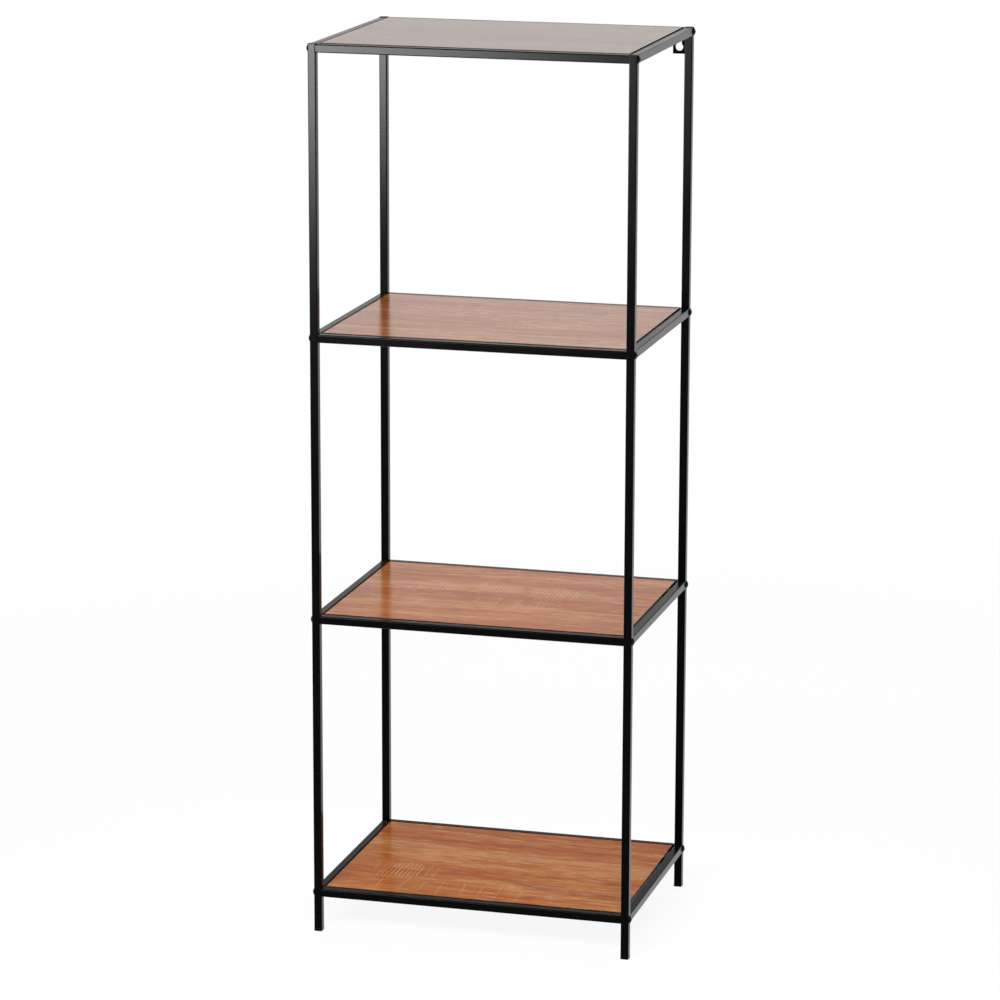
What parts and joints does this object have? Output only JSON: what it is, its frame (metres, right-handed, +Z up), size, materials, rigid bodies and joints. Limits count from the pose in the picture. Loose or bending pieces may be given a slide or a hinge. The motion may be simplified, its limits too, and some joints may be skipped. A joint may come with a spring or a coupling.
{
  "type": "metal shelving unit",
  "caption": "Tall, slim open shelving unit: a black square-tube steel frame, bolted at the corners, with wood-look boards let into each level and wall tabs at the top.",
  "frame": {"origin": "on the floor, at the middle of the footprint", "axes": "+X to the right seen from the front, +Y to the back, +Z up"},
  "size_m": [0.4048, 0.3002, 1.1005],
  "materials": {
    "frame_paint": "satin black powder coat",
    "board_wood": "wood-look laminate, red-brown oak, satin to semi-gloss",
    "black_plastic": "moulded, fine texture",
    "bolt_black": "black, semi-gloss",
    "zinc_steel": "zinc plated"
  },
  "bodies": {
    "root": {"board_lugs_level_1": "frame_paint", "board_lugs_level_2": "frame_paint", "board_lugs_level_3": "frame_paint", "board_lugs_level_4": "frame_paint", "board_screws_level_1": "zinc_steel", "board_screws_level_2": "zinc_steel", "board_screws_level_3": "zinc_steel", "board_screws_level_4": "zinc_steel", "cross_rail_back_level_1": "frame_paint", "cross_rail_back_level_2": "frame_paint", "cross_rail_back_level_3": "frame_paint", "cross_rail_back_level_4": "frame_paint", "cross_rail_front_level_1": "frame_paint", "cross_rail_front_level_2": "frame_paint", "cross_rail_front_level_3": "frame_paint", "cross_rail_front_level_4": "frame_paint", "foot_plug_back_left": "black_plastic", "foot_plug_back_right": "black_plastic", "foot_plug_front_left": "black_plastic", "foot_plug_front_right": "black_plastic", "frame_bolts_level_1": "bolt_black", "frame_bolts_level_2": "bolt_black", "frame_bolts_level_3": "bolt_black", "frame_bolts_level_4": "bolt_black", "post_back_left": "frame_paint", "post_back_right": "frame_paint", "post_cap_back_left": "black_plastic", "post_cap_back_right": "black_plastic", "post_cap_front_left": "black_plastic", "post_cap_front_right": "black_plastic", "post_front_left": "frame_paint", "post_front_right": "frame_paint", "rail_nuts_level_1": "zinc_steel", "rail_nuts_level_2": "zinc_steel", "rail_nuts_level_3": "zinc_steel", "rail_nuts_level_4": "zinc_steel", "shelf_board_level_1": "board_wood", "shelf_board_level_2": "board_wood", "shelf_board_level_3": "board_wood", "shelf_board_level_4": "board_wood", "side_rail_left_level_1": "frame_paint", "side_rail_left_level_2": "frame_paint", "side_rail_left_level_3": "frame_paint", "side_rail_left_level_4": "frame_paint", "side_rail_right_level_1": "frame_paint", "side_rail_right_level_2": "frame_paint", "side_rail_right_level_3": "frame_paint", "side_rail_right_level_4": "frame_paint", "wall_tab_left": "frame_paint", "wall_tab_right": "frame_paint"}
  },
  "joints": []
}
